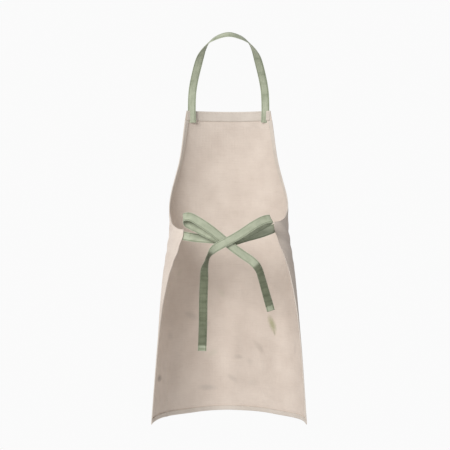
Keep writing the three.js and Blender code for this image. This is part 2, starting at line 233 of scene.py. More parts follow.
def on_body(s, z):
    width, depth = body_at(z, 1), body_at(z, 2)
    angle = angle_at(np.abs(s), width, depth)
    x = np.sign(s) * width * np.sin(angle)
    y = body_at(z, 3) - depth * np.cos(angle)
    return np.stack([x, y, z + hitch_at(s, z) - droop_at(s, z)], axis=1)


def on_cloth(s, z, out):
    """Points of the cloth, in millimetres, at a distance outwards from its middle layer."""
    s, z = np.asarray(s, float), np.asarray(z, float)
    across = on_body(s + 1, z) - on_body(s - 1, z)
    up = on_body(s, z + 1) - on_body(s, z - 1)
    outward = np.cross(across, up)
    outward /= np.linalg.norm(outward, axis=1)[:, None]
    return on_body(s, z) + outward * (np.asarray(out) + fold_at(s, z))[:, None]


SMOOTH_ANGLE = math.radians(40)


def closed_slab(name, outer, inner, flat, material):
    """A closed piece from a grid of points on its outer and its inner side, in millimetres."""
    rows, cols = outer.shape[:2]
    points = np.concatenate([outer.reshape(-1, 3), inner.reshape(-1, 3)]) * MM
    index = np.arange(rows * cols).reshape(rows, cols)
    back = index + rows * cols
    a, b, c, d = index[:-1, :-1], index[:-1, 1:], index[1:, 1:], index[1:, :-1]
    faces = [np.stack([a, b, c, d], -1).reshape(-1, 4)]
    a, b, c, d = back[:-1, :-1], back[1:, :-1], back[1:, 1:], back[:-1, 1:]
    faces.append(np.stack([a, b, c, d], -1).reshape(-1, 4))
    faces.append(np.stack([index[0, :-1], back[0, :-1], back[0, 1:], index[0, 1:]], -1))
    faces.append(np.stack([index[-1, 1:], back[-1, 1:], back[-1, :-1], index[-1, :-1]], -1))
    faces.append(np.stack([index[1:, 0], back[1:, 0], back[:-1, 0], index[:-1, 0]], -1))
    faces.append(np.stack([index[:-1, -1], back[:-1, -1], back[1:, -1], index[1:, -1]], -1))
    faces = np.concatenate(faces)
    mesh = bpy.data.meshes.new(name)
    mesh.from_pydata(points.tolist(), [], faces.tolist())
    layer = mesh.uv_layers.new(name="cut")
    uv = np.concatenate([flat.reshape(-1, 2), flat.reshape(-1, 2)]) * MM
    layer.data.foreach_set("uv", uv[faces.ravel()].astype(np.float32).ravel())
    mesh.materials.append(material)
    piece = bpy.data.objects.new(name, mesh)
    scene.collection.objects.link(piece)
    bpy.ops.object.select_all(action="DESELECT")
    bpy.context.view_layer.objects.active = piece
    piece.select_set(True)
    bpy.ops.object.shade_smooth_by_angle(angle=SMOOTH_ANGLE)
    return piece


def cloth_piece(name, s, z, inner, outer, material):
    """A closed piece of cloth on the body, from a grid of flat places between two depths."""
    shape = s.shape
    inner = np.broadcast_to(inner, shape).ravel()
    outer = np.broadcast_to(outer, shape).ravel()
    low = on_cloth(s.ravel(), z.ravel(), inner).reshape(*shape, 3)
    high = on_cloth(s.ravel(), z.ravel(), outer).reshape(*shape, 3)
    return closed_slab(name, high, low, np.stack([s, z], -1), material)


def node(tree, kind, **values):
    made = tree.nodes.new(kind)
    for key, value in values.items():
        if key in made.inputs:
            made.inputs[key].default_value = value
        else:
            setattr(made, key, value)
    return made


def stretched(tree, scale, turn=0.0):
    """The piece's flat cut, in metres, scaled for a pattern."""
    place = node(tree, "ShaderNodeUVMap", uv_map="cut")
    fit = node(tree, "ShaderNodeMapping")
    fit.inputs["Scale"].default_value = scale
    fit.inputs["Rotation"].default_value = (0, 0, turn)
    tree.links.new(place.outputs["UV"], fit.inputs["Vector"])
    return fit.outputs["Vector"]


def noise(tree, vector, scale, detail, rough=0.55):
    made = node(tree, "ShaderNodeTexNoise", Scale=scale, Detail=detail, Roughness=rough)
    tree.links.new(vector, made.inputs["Vector"])
    return made.outputs["Fac"]


def ramp(tree, factor, low, high, low_value=0.0, high_value=1.0):
    made = node(tree, "ShaderNodeMapRange")
    made.clamp = True
    made.inputs["From Min"].default_value = low
    made.inputs["From Max"].default_value = high
    made.inputs["To Min"].default_value = low_value
    made.inputs["To Max"].default_value = high_value
    tree.links.new(factor, made.inputs["Value"])
    return made.outputs["Result"]


def mixed(tree, factor, first, second, blend="MIX"):
    made = node(tree, "ShaderNodeMix", data_type="RGBA", blend_type=blend)
    for socket, value in ((made.inputs[0], factor), (made.inputs[6], first), (made.inputs[7], second)):
        if hasattr(value, "is_linked"):
            tree.links.new(value, socket)
        else:
            socket.default_value = value
    return made.outputs[2]


def maths(tree, operation, first, second=0.0):
    made = node(tree, "ShaderNodeMath", operation=operation)
    for socket, value in ((made.inputs[0], first), (made.inputs[1], second)):
        if hasattr(value, "is_linked"):
            tree.links.new(value, socket)
        else:
            socket.default_value = value
    return made.outputs[0]


# One rib of the weave is two pi times this long, in metres. At scale 1 the wave pattern turns
# through 20 radians in a metre.
CANVAS_RIB = 0.0007
WAVE_TURN = 20
WEAVE_DEPTH = 0.0006
PLAIN = (1, 1, 1)


def woven_bump(tree, shader, rib, strength, relief):
    """Warp and weft crossing, with thicker threads here and there, over a relief of creases."""
    heights = []
    for direction in ("X", "Y"):
        wave = node(tree, "ShaderNodeTexWave", wave_type="BANDS", bands_direction=direction)
        wave.inputs["Scale"].default_value = 1 / rib / WAVE_TURN
        wave.inputs["Distortion"].default_value = 2.2
        wave.inputs["Detail"].default_value = 1.0
        tree.links.new(stretched(tree, PLAIN), wave.inputs["Vector"])
        heights.append(wave.outputs["Fac"])
    weave = maths(tree, "MULTIPLY", heights[0], heights[1])
    slub = noise(tree, stretched(tree, (30, 900, 1)), 1.0, 2)
    total = maths(tree, "ADD", weave, maths(tree, "MULTIPLY", slub, 0.8))
    total = maths(tree, "ADD", total, relief)
    bump = node(tree, "ShaderNodeBump", Strength=strength, Distance=WEAVE_DEPTH)
    tree.links.new(total, bump.inputs["Height"])
    tree.links.new(bump.outputs["Normal"], shader.inputs["Normal"])


# Faint smudges that show through the cloth: place across and up in the cut, length, width, turn,
# strength and colour of each, in metres and radians.
MARKS = [
    (-0.134, -0.783, 0.046, 0.020, 1.05, 0.85, (0.38, 0.37, 0.22, 1)),
    (-0.142, -0.806, 0.016, 0.005, 1.25, 0.65, (0.33, 0.31, 0.20, 1)),
    (0.045, -0.868, 0.036, 0.016, -0.55, 0.20, (0.50, 0.50, 0.38, 1)),
    (0.247, -0.920, 0.034, 0.017, 0.10, 0.58, (0.20, 0.17, 0.15, 1)),
    (0.236, -0.925, 0.011, 0.008, -0.4, 0.22, (0.26, 0.22, 0.19, 1)),
    (0.190, -0.812, 0.026, 0.018, 0.5, 0.16, (0.28, 0.24, 0.21, 1)),
    (-0.062, -0.892, 0.022, 0.017, 0.2, 0.14, (0.34, 0.31, 0.27, 1)),
    (-0.071, -0.952, 0.026, 0.020, -0.3, 0.13, (0.34, 0.31, 0.27, 1)),
    (-0.232, -0.846, 0.015, 0.034, 0.1, 0.15, (0.24, 0.21, 0.20, 1)),
    (0.110, -0.760, 0.040, 0.020, 0.4, 0.30, (0.30, 0.26, 0.23, 1)),
    (0.070, -0.790, 0.030, 0.014, -0.5, 0.26, (0.30, 0.27, 0.24, 1)),
    (-0.090, -0.850, 0.046, 0.016, 0.8, 0.26, (0.34, 0.29, 0.24, 1)),
    (-0.030, -0.880, 0.024, 0.012, 0.1, 0.28, (0.33, 0.29, 0.25, 1)),
    (0.060, -0.965, 0.050, 0.016, 0.1, 0.24, (0.30, 0.27, 0.25, 1)),
    (-0.010, -0.940, 0.030, 0.014, 0.6, 0.22, (0.31, 0.28, 0.25, 1)),
    (0.020, -0.700, 0.030, 0.014, 0.9, 0.16, (0.45, 0.46, 0.32, 1)),
    (0.150, -0.640, 0.026, 0.012, -0.8, 0.14, (0.42, 0.42, 0.30, 1)),
]


def add_marks(tree, colour):
    """Each mark is an oval with a ragged rim, laid over the colour of the cloth."""
    ragged = noise(tree, stretched(tree, PLAIN), 160, 3)
    for across, up, length, width, turn, strength, tint in MARKS:
        place = node(tree, "ShaderNodeUVMap", uv_map="cut")
        centre = node(tree, "ShaderNodeMapping", vector_type="TEXTURE")
        centre.inputs["Location"].default_value = (across, up, 0)
        centre.inputs["Rotation"].default_value = (0, 0, turn)
        centre.inputs["Scale"].default_value = (length / 2, width / 2, 1)
        tree.links.new(place.outputs["UV"], centre.inputs["Vector"])
        reach = node(tree, "ShaderNodeVectorMath", operation="LENGTH")
        tree.links.new(centre.outputs["Vector"], reach.inputs[0])
        edge = maths(tree, "ADD", reach.outputs["Value"], maths(tree, "MULTIPLY", ragged, 0.7))
        inside = ramp(tree, edge, 0.7, 1.75, strength, 0.0)
        colour = mixed(tree, inside, colour, tint)
    return colour


SLUB_SHADE = (0.80, 0.77, 0.74, 1)
FLECK_BROWN = (0.42, 0.34, 0.26, 1)
CANVAS_RELIEF = 0.32


def canvas_cloth(name, light, dark, marks=True):
    """Unbleached cotton: mottled, with thick threads both ways and small seed flecks."""
    material = bpy.data.materials.new(name)
    material.use_nodes = True
    tree = material.node_tree
    shader = tree.nodes["Principled BSDF"]
    shader.inputs["Specular IOR Level"].default_value = 0.25
    shader.inputs["Sheen Weight"].default_value = 0.12
    shader.inputs["Sheen Roughness"].default_value = 0.6
    mottle = noise(tree, stretched(tree, PLAIN), 14, 4, 0.6)
    weft = noise(tree, stretched(tree, (22, 620, 1)), 1.0, 3)
    warp = noise(tree, stretched(tree, (620, 22, 1)), 1.0, 3)
    colour = mixed(tree, ramp(tree, mottle, 0.32, 0.7), light, dark)
    colour = mixed(tree, ramp(tree, weft, 0.5, 0.8, 0.0, 0.42), colour, SLUB_SHADE, "MULTIPLY")
    colour = mixed(tree, ramp(tree, warp, 0.54, 0.82, 0.0, 0.30), colour, SLUB_SHADE, "MULTIPLY")
    flecks = noise(tree, stretched(tree, PLAIN), 420, 1)
    colour = mixed(tree, ramp(tree, flecks, 0.71, 0.76, 0.0, 0.45), colour, FLECK_BROWN)
    if marks:
        colour = add_marks(tree, colour)
    tree.links.new(colour, shader.inputs["Base Color"])
    wear_and_edge_highlight = ramp(tree, mottle, 0.3, 0.7, 0.86, 0.97)
    tree.links.new(wear_and_edge_highlight, shader.inputs["Roughness"])
    creases = noise(tree, stretched(tree, PLAIN), 55, 3)
    woven_bump(tree, shader, CANVAS_RIB, CANVAS_RELIEF, maths(tree, "MULTIPLY", creases, 1.6))
    return material


canvas = canvas_cloth("natural_canvas", (0.71, 0.62, 0.545, 1), (0.63, 0.54, 0.47, 1))

FACE = CANVAS / 2
SIDE_ROWS = 110
ARMHOLE_ROWS = 90
CLOTH_COLUMNS = 181


def armhole_z(t):
    """Heights up the armhole, close together at the tie corner, where its edge runs flat."""
    return CORNER_Z + (HEM_TOP_Z - CORNER_Z) * t**ARMHOLE_SPREAD


panel_z = np.concatenate([
    np.linspace(HEM_Z, CORNER_Z, SIDE_ROWS, endpoint=False),
    armhole_z(np.linspace(0, 1, ARMHOLE_ROWS)),
])
spread = np.linspace(-1, 1, CLOTH_COLUMNS)
panel_s = half_cut(panel_z)[:, None] * spread[None, :]
panel_zz = np.broadcast_to(panel_z[:, None], panel_s.shape)
panel = cloth_piece("canvas_panel", panel_s, panel_zz, -FACE, FACE, canvas)
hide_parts("apron_panel")
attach(panel, "apron")

# ---------------------------------------------------------------------------------------------
# Hems: every edge is turned in twice and lies on the inner side of the panel. The upper edge of
# the bib has a deeper hem, and the armholes have the same narrow one as the sides.
# ---------------------------------------------------------------------------------------------
HEM_WIDTH = 12.0
BIB_HEM_WIDTH = 25.0
HEM_THICK = 1.6
HEM_END_GAP = 0.3
GAP = 0.6
HEM_OUT = -FACE - 0.15
HEM_IN = -FACE - GAP - HEM_THICK
BIB_COLUMNS = 61

# The folded canvas is drawn darker than the panel, for its double layer and as painted shade.
hem_canvas = canvas_cloth("folded_canvas_painted_shade", (0.66, 0.595, 0.53, 1), (0.58, 0.515, 0.455, 1), marks=False)


def hem_piece(name, edge, inner, replaced):
    """A band between the cloth's edge and its inner line, thin at both and full between."""
    across = np.array([-0.06, 0.0, 0.12, 0.3, 0.6, 0.85, 0.97, 1.0])
    fullness = np.array([0.35, 0.8, 1.0, 0.93, 0.9, 0.97, 0.85, 0.4])
    s = edge[:, None, 0] * (1 - across) + inner[:, None, 0] * across
    z = edge[:, None, 1] * (1 - across) + inner[:, None, 1] * across
    pucker = 0.10 * np.sin(np.arange(len(edge)) * 1.9)[:, None] * np.ones_like(across)[None, :]
    depth = HEM_OUT + (HEM_IN - HEM_OUT) * fullness[None, :] + pucker
    outer = np.broadcast_to(np.where(across < 0, FACE * 0.6, HEM_OUT), s.shape)
    forward = np.cross(
        np.array([*(edge[1] - edge[0]), 0.0]), np.array([*(inner[0] - edge[0]), 0.0])
    )[2] > 0
    if forward:
        s, z, depth, outer = s.T, z.T, depth.T, outer.T
    piece = cloth_piece(name, s, z, depth, outer, hem_canvas)
    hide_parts(replaced)
    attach(piece, "apron")
    return piece


def pairs(s, z):
    return np.stack([np.asarray(s, float), np.asarray(z, float)], axis=1)


def level_line(half, z, count):
    """A level line across the cut, from one side to the other."""
    return pairs(np.linspace(-half, half, count), np.full(count, z))


hems = [hem_piece(
    "hem_of_the_skirt", level_line(SKIRT_HALF, HEM_Z, CLOTH_COLUMNS),
    level_line(SKIRT_HALF, HEM_Z + HEM_WIDTH, CLOTH_COLUMNS), "bottom_hem",
)]
hems.append(hem_piece(
    "hem_of_the_bib", level_line(BIB_HALF, HEM_TOP_Z, BIB_COLUMNS),
    level_line(BIB_HALF, HEM_TOP_Z - BIB_HEM_WIDTH, BIB_COLUMNS), "bib_top_hem",
))


def armhole_lines():
    """The armhole's edge in the flat cut and a line a hem's width inside it."""
    share = (HEM_TOP_Z - BIB_HEM_WIDTH - HEM_END_GAP - CORNER_Z) / (HEM_TOP_Z - CORNER_Z)
    t = np.linspace(0, share ** (1 / ARMHOLE_SPREAD), ARMHOLE_ROWS)
    edge = pairs(half_cut(armhole_z(t)), armhole_z(t))
    along = np.gradient(edge, axis=0)
    along /= np.linalg.norm(along, axis=1)[:, None]
    inward = np.stack([-along[:, 1], along[:, 0]], axis=1)
    lean = np.clip(t / 0.1, 0, 1)[:, None]
    inward = inward * lean + np.array([0, -1]) * (1 - lean)
    inward /= np.linalg.norm(inward, axis=1)[:, None]
    inward[-1] = (-1, 0)
    return edge, edge + inward * HEM_WIDTH


armhole_edge, armhole_inner = armhole_lines()
side_z = np.linspace(HEM_Z + HEM_WIDTH + HEM_END_GAP, CORNER_Z - HEM_WIDTH - HEM_END_GAP, SIDE_ROWS)
for word, hand in (("left", 1), ("right", -1)):
    flip = np.array([hand, 1.0])
    hems.append(hem_piece(
        f"{word}_hem_of_the_armhole", armhole_edge * flip, armhole_inner * flip, f"{word}_armhole_hem"
    ))
    side_edge = pairs(half_cut(side_z), side_z)
    hems.append(hem_piece(
        f"{word}_hem_of_the_side", side_edge * flip, (side_edge - [HEM_WIDTH, 0]) * flip, f"{word}_side_hem"
    ))

# ---------------------------------------------------------------------------------------------
# Patch pocket: a rectangle of the same canvas on the front of the skirt, its mouth turned in and
# its sides and foot folded under and sewn down. The mouth stands a little open.
# ---------------------------------------------------------------------------------------------
POCKET_HALF = 150.0
POCKET_HEIGHT = 175.0
POCKET_DROP = 75.0
POCKET_BELLY = 16.0
POCKET_TURNING = 9.0
MOUTH_TURNING = 22.0
pocket_mouth = CORNER_Z - POCKET_DROP
pocket_foot = pocket_mouth - POCKET_HEIGHT


def pocket_standoff(s, z):
    sideways = np.maximum(0, 1 - (s / POCKET_HALF) ** 2)
    upwards = smooth((z - pocket_foot) / POCKET_HEIGHT)
    return FACE + GAP + POCKET_BELLY * sideways * upwards


def turned_under(s, z):
    """How much the folded edges add to the pocket's thickness."""
    rim = np.minimum(POCKET_HALF - np.abs(s), z - pocket_foot)
    return 0.5 * (rim < POCKET_TURNING) + 0.7 * (pocket_mouth - z < MOUTH_TURNING)


pocket_s, pocket_z = np.meshgrid(
    np.linspace(-POCKET_HALF, POCKET_HALF, 101), np.linspace(pocket_foot, pocket_mouth, 60)
)
pocket_inner = pocket_standoff(pocket_s, pocket_z)
pocket_outer = pocket_inner + CANVAS + turned_under(pocket_s, pocket_z)
pocket = cloth_piece("front_pocket", pocket_s, pocket_z, pocket_inner - 0.35, pocket_outer, canvas)
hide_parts("patch_pocket")
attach(pocket, "apron")

# ---------------------------------------------------------------------------------------------
# Stitching on the canvas: lockstitch in natural cotton thread along every hem on both faces, with a
# second row at the bib's upper edge, two rows round the pocket and two along its mouth.
# ---------------------------------------------------------------------------------------------
STITCH = 2.9
STITCH_PITCH = 3.6
THREAD_RADIUS = 0.32
THREAD_LIFT = 0.1
BEAD_SIDES = 6

thread_look = bpy.data.materials.new("natural_thread")
thread_look.use_nodes = True
thread_shader = thread_look.node_tree.nodes["Principled BSDF"]
thread_shader.inputs["Roughness"].default_value = 0.7
thread_shader.inputs["Sheen Weight"].default_value = 0.2
thread_tree = thread_look.node_tree
twist = node(thread_tree, "ShaderNodeTexNoise", Scale=900.0, Detail=2.0)
spot = node(thread_tree, "ShaderNodeTexCoord")
thread_tree.links.new(spot.outputs["Object"], twist.inputs["Vector"])
thread_colour = mixed(thread_tree, twist.outputs["Fac"], (0.55, 0.48, 0.40, 1), (0.74, 0.68, 0.60, 1))
thread_tree.links.new(thread_colour, thread_shader.inputs["Base Color"])


def stitched(name, starts, ends, lifts, material, radius):
    """One mesh of short threads, each a six-sided bead from its start to its end."""
    starts, ends, lifts = (np.concatenate(x) for x in (starts, ends, lifts))
    along = ends - starts
    length = np.linalg.norm(along, axis=1)[:, None]
    along /= length
    side = np.cross(along, lifts)
    side /= np.linalg.norm(side, axis=1)[:, None]
    lift = np.cross(side, along)
    # Share of the length, girth and rise out of the cloth, from where the thread comes up.
    stations = [
        (0.0, 0.35, -0.9),
        (0.18, 0.95, 0.0),
        (0.5, 1.0, 0.35),
        (0.82, 0.95, 0.0),
        (1.0, 0.35, -0.9),
    ]
    turns = np.arange(BEAD_SIDES) * math.tau / BEAD_SIDES
    rings = []
    for share, girth, rise in stations:
        centre = starts + along * length * share + lift * radius * rise
        ring = [centre + radius * girth * (side * math.cos(a) + lift * math.sin(a)) for a in turns]
        rings.append(np.stack(ring, axis=1))
    points = np.stack(rings, axis=1).reshape(-1, 3) * MM
    faces = []
    bead = len(stations) * BEAD_SIDES
    for base in range(0, len(starts) * bead, bead):
        for low in range(base, base + bead - BEAD_SIDES, BEAD_SIDES):
            for a in range(BEAD_SIDES):
                b = (a + 1) % BEAD_SIDES
                faces.append((low + a, low + b, low + BEAD_SIDES + b, low + BEAD_SIDES + a))
        faces.append(tuple(range(base + BEAD_SIDES - 1, base - 1, -1)))
        faces.append(tuple(range(base + bead - BEAD_SIDES, base + bead)))
    mesh = bpy.data.meshes.new(name)
    mesh.from_pydata(points.tolist(), [], faces)
    mesh.materials.append(material)
    piece = bpy.data.objects.new(name, mesh)
    scene.collection.objects.link(piece)
    mesh.shade_smooth()
    return piece


def places_at(distance, run, line):
    """Points of a line, or values kept along it, at distances from its start."""
    return np.stack([np.interp(distance, run, line[:, k]) for k in range(line.shape[1])], axis=1)


def along_line(line):
    """Starts and ends of stitches along a line of flat places."""
    steps = np.linalg.norm(np.diff(line, axis=0), axis=1)
    run = np.concatenate([[0], np.cumsum(steps)])
    first = np.arange(STITCH_PITCH / 2, run[-1] - STITCH, STITCH_PITCH)
    return places_at(first, run, line), places_at(first + STITCH, run, line)


def sewn_on_cloth(name, rows):
    """Stitch rows, each a line of flat places with its depth and the face that it shows on."""
    starts, ends, lifts = [], [], []
    for line, depth, facing in rows:
        first, second = along_line(np.asarray(line, float))
        here = depth(first[:, 0], first[:, 1]) if callable(depth) else np.full(len(first), depth)
        there = depth(second[:, 0], second[:, 1]) if callable(depth) else here
        starts.append(on_cloth(first[:, 0], first[:, 1], here))
        ends.append(on_cloth(second[:, 0], second[:, 1], there))
        lifts.append(facing * (on_cloth(first[:, 0], first[:, 1], here + 1) - starts[-1]))
    piece = stitched(name, starts, ends, lifts, thread_look, THREAD_RADIUS)
    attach(piece, "apron")
    return piece


STITCH_INSET = 1.8
ROW_INSET = 2.0
BIB_ROW = 60
bib_half_row = BIB_HALF - ROW_INSET
to_inner_line = 1 - STITCH_INSET / HEM_WIDTH
armhole_row = armhole_edge * (1 - to_inner_line) + armhole_inner * to_inner_line
hem_rows = []
for depth, facing in ((FACE + THREAD_LIFT, 1), (HEM_IN - THREAD_LIFT / 2, -1)):
    skirt_row = level_line(SKIRT_HALF - ROW_INSET, HEM_Z + HEM_WIDTH - STITCH_INSET, CLOTH_COLUMNS)
    hem_rows.append((skirt_row, depth, facing))
    for row_z in (HEM_TOP_Z - BIB_HEM_WIDTH + STITCH_INSET, HEM_TOP_Z - STITCH_INSET):
        hem_rows.append((level_line(bib_half_row, row_z, BIB_ROW), depth, facing))
    for hand in (1, -1):
        flip = np.array([hand, 1.0])
        hem_rows.append((armhole_row * flip, depth, facing))
        side = pairs(half_cut(side_z) - HEM_WIDTH + STITCH_INSET, side_z)
        hem_rows.append((side * flip, depth, facing))
hem_stitches = sewn_on_cloth("hem_stitches", hem_rows)


def pocket_top(s, z):
    return pocket_standoff(s, z) + CANVAS + turned_under(s, z) + THREAD_LIFT


pocket_rows = []
for inset in (2.0, 7.5):
    left, right = -POCKET_HALF + inset, POCKET_HALF - inset
    foot, mouth = pocket_foot + inset, pocket_mouth - 1
    outline = pairs([left] * 30, np.linspace(mouth, foot, 30))
    outline = np.concatenate([outline, pairs(np.linspace(left, right, 60), [foot] * 60)])
    outline = np.concatenate([outline, pairs([right] * 30, np.linspace(foot, mouth, 30))])
    pocket_rows.append((outline, pocket_top, 1))
for drop in (2.0, 20.0):
    mouth_row = level_line(POCKET_HALF - ROW_INSET, pocket_mouth - drop, 80)
    pocket_rows.append((mouth_row, pocket_top, 1))
pocket_stitches = sewn_on_cloth("pocket_stitches", pocket_rows)

# ---------------------------------------------------------------------------------------------
# Tape: a strip of sage green cotton folded lengthwise into a flat tape and edge-stitched along
# both sides. Its cross section is soft at the edges, and pressed creases cross it here and there.
# ---------------------------------------------------------------------------------------------
TAPE_WIDTH = 22.0
TAPE_THICK = 1.6
TAPE_RIB = 0.0008
TAPE_RELIEF = 0.5
SAGE_LIGHT = (0.455, 0.485, 0.365, 1)
SAGE_DARK = (0.335, 0.365, 0.265, 1)
# Tones laid over the sage: painted shade in the pressed creases, thick threads, painted shade in
# the stitched grooves, a painted highlight on the folded edges, and painted shade on a tail past
# its turn and in that stretch's own creases.
CREASE_PAINTED_SHADE = (0.68, 0.70, 0.64, 1)
THREAD_TONE = (0.78, 0.80, 0.76, 1)
GROOVE_PAINTED_SHADE = (0.45, 0.48, 0.40, 1)
EDGE_PAINTED_HIGHLIGHT = (0.66, 0.70, 0.58, 1)
TAIL_PAINTED_SHADE = (0.42, 0.43, 0.38, 1)
TAIL_CREASE_PAINTED_SHADE = (0.60, 0.62, 0.56, 1)
# In metres: where the stitched groove and the painted edge highlight lie from the tape's middle, how
# quickly a tail's painted shade comes in past its turn, and the length of its hem and of the step in
# that painted shade there.
GROOVE_AT = 0.0088
EDGE_HIGHLIGHT_FROM = 0.0100
EDGE_HIGHLIGHT_FULL = 0.0109
TURN_LENGTH = 0.007
TAIL_HEM = 0.014
HEM_LINE = 0.001


def tape_cloth(name, turn=None, end=None):
    """Sage tape cotton, with painted shade past a turn and up to the hem at its end, if it has one."""
    material = bpy.data.materials.new(name)
    material.use_nodes = True
    tree = material.node_tree
    shader = tree.nodes["Principled BSDF"]
    shader.inputs["Specular IOR Level"].default_value = 0.3
    shader.inputs["Sheen Weight"].default_value = 0.15
    shader.inputs["Sheen Roughness"].default_value = 0.5
    patchy = noise(tree, stretched(tree, (60, 26, 1)), 1.0, 4)
    colour = mixed(tree, ramp(tree, patchy, 0.34, 0.68), SAGE_LIGHT, SAGE_DARK)
    # Painted shade: the tape is darkened along its pressed creases.
    pressed = noise(tree, stretched(tree, (14, 58, 1), 0.12), 1.0, 2)
    colour = mixed(tree, ramp(tree, pressed, 0.56, 0.70, 0.0, 0.60), colour, CREASE_PAINTED_SHADE, "MULTIPLY")
    lengthwise = noise(tree, stretched(tree, (700, 14, 1)), 1.0, 3)
    colour = mixed(tree, ramp(tree, lengthwise, 0.48, 0.75, 0.0, 0.5), colour, THREAD_TONE, "MULTIPLY")
    place = node(tree, "ShaderNodeUVMap", uv_map="cut")
    split = node(tree, "ShaderNodeSeparateXYZ")
    tree.links.new(place.outputs["UV"], split.inputs[0])
    from_middle = maths(tree, "ABSOLUTE", split.outputs["X"])
    # Painted highlight: the tape is lightened along its folded edges.
    wear_and_edge_highlight = ramp(tree, from_middle, EDGE_HIGHLIGHT_FROM, EDGE_HIGHLIGHT_FULL, 0.0, 0.35)
    colour = mixed(tree, wear_and_edge_highlight, colour, EDGE_PAINTED_HIGHLIGHT)
    # Painted shade: the tape is darkened in the stitched grooves beside its edges.
    channel = maths(tree, "ABSOLUTE", maths(tree, "SUBTRACT", from_middle, GROOVE_AT))
    groove = ramp(tree, channel, 0.0004, 0.0017, 1.0, 0.0)
    colour = mixed(tree, maths(tree, "MULTIPLY", groove, 0.75), colour, GROOVE_PAINTED_SHADE, "MULTIPLY")
    # Painted shade: a tail is darkened past its turn, with painted shade in its creases, up to its hem.
    if turn is not None:
        run = split.outputs["Y"]
        turned = ramp(tree, run, turn, turn + TURN_LENGTH)
        before_hem = ramp(tree, run, end - TAIL_HEM, end - TAIL_HEM + HEM_LINE, 1.0, 0.0)
        tail_creases = noise(tree, stretched(tree, (8, 110, 1), 0.10), 1.0, 2)
        tail_shade = maths(tree, "MULTIPLY", turned, before_hem)
        colour = mixed(tree, tail_shade, colour, TAIL_PAINTED_SHADE, "MULTIPLY")
        rib = maths(tree, "MULTIPLY", turned, ramp(tree, tail_creases, 0.46, 0.66, 0.0, 0.6))
        colour = mixed(tree, rib, colour, TAIL_CREASE_PAINTED_SHADE, "MULTIPLY")
    tree.links.new(colour, shader.inputs["Base Color"])
    tree.links.new(ramp(tree, patchy, 0.3, 0.7, 0.78, 0.92), shader.inputs["Roughness"])
    raised = maths(tree, "MULTIPLY", pressed, 1.3)
    sunk = maths(tree, "MULTIPLY", groove, 1.6)
    woven_bump(tree, shader, TAPE_RIB, TAPE_RELIEF, maths(tree, "SUBTRACT", raised, sunk))
    return material


tape_look = tape_cloth("sage_tape")

TAPE_THREAD_RADIUS = 0.28
tape_thread = thread_look.copy()
tape_thread.name = "sage_thread"
for made in tape_thread.node_tree.nodes:
    if made.type == "MIX":
        made.inputs[6].default_value = (0.42, 0.48, 0.35, 1)
        made.inputs[7].default_value = (0.60, 0.65, 0.50, 1)

# Half of the tape's section, from its middle to its edge: the place across, and how much of the
# full thickness it has there. It is pinched at the edge stitching.
STITCH_ACROSS = 0.8
HALF_SECTION = [
    (0.4, 1),
    (0.74, 0.98),
    (STITCH_ACROSS, 0.72),
    (0.86, 1),
    (0.94, 0.92),
    (0.985, 0.6),
    (1, 0.15),
]
SECTION = np.array([-a for a, _ in reversed(HALF_SECTION)] + [0] + [a for a, _ in HALF_SECTION], float)
FULLNESS = np.array([f for _, f in reversed(HALF_SECTION)] + [1] + [f for _, f in HALF_SECTION], float)
# How the ripples fade from the middle of the tape to its edges, and the length of a hemmed end.
RIPPLE_FADE = 1.2
FOLDED_END = 17


def curve_through(points, count):
    """Points along a smooth curve through a list, evenly spread, with centripetal spacing."""
    points = np.asarray(points, float)
    ends = np.concatenate([[2 * points[0] - points[1]], points, [2 * points[-1] - points[-2]]])
    place = ends[:, :3]
    knots = np.concatenate([[0], np.cumsum(np.linalg.norm(np.diff(place, axis=0), axis=1) ** 0.5)])
    dense = []
    for i in range(1, len(ends) - 2):
        p0, p1, p2, p3 = ends[i - 1:i + 3]
        t0, t1, t2, t3 = knots[i - 1:i + 3]
        t = np.linspace(t1, t2, 40, endpoint=(i == len(ends) - 3))[:, None]
        a1 = (t1 - t) / (t1 - t0) * p0 + (t - t0) / (t1 - t0) * p1
        a2 = (t2 - t) / (t2 - t1) * p1 + (t - t1) / (t2 - t1) * p2
        a3 = (t3 - t) / (t3 - t2) * p2 + (t - t2) / (t3 - t2) * p3
        b1 = (t2 - t) / (t2 - t0) * a1 + (t - t0) / (t2 - t0) * a2
        b2 = (t3 - t) / (t3 - t1) * a2 + (t - t1) / (t3 - t1) * a3
        dense.append((t2 - t) / (t2 - t1) * b1 + (t - t1) / (t2 - t1) * b2)
    dense = np.concatenate(dense)
    run = np.concatenate([[0], np.cumsum(np.linalg.norm(np.diff(dense[:, :3], axis=0), axis=1))])
    wanted = np.linspace(0, run[-1], count)
    return np.stack([np.interp(wanted, run, dense[:, k]) for k in range(dense.shape[1])], axis=1), run[-1]


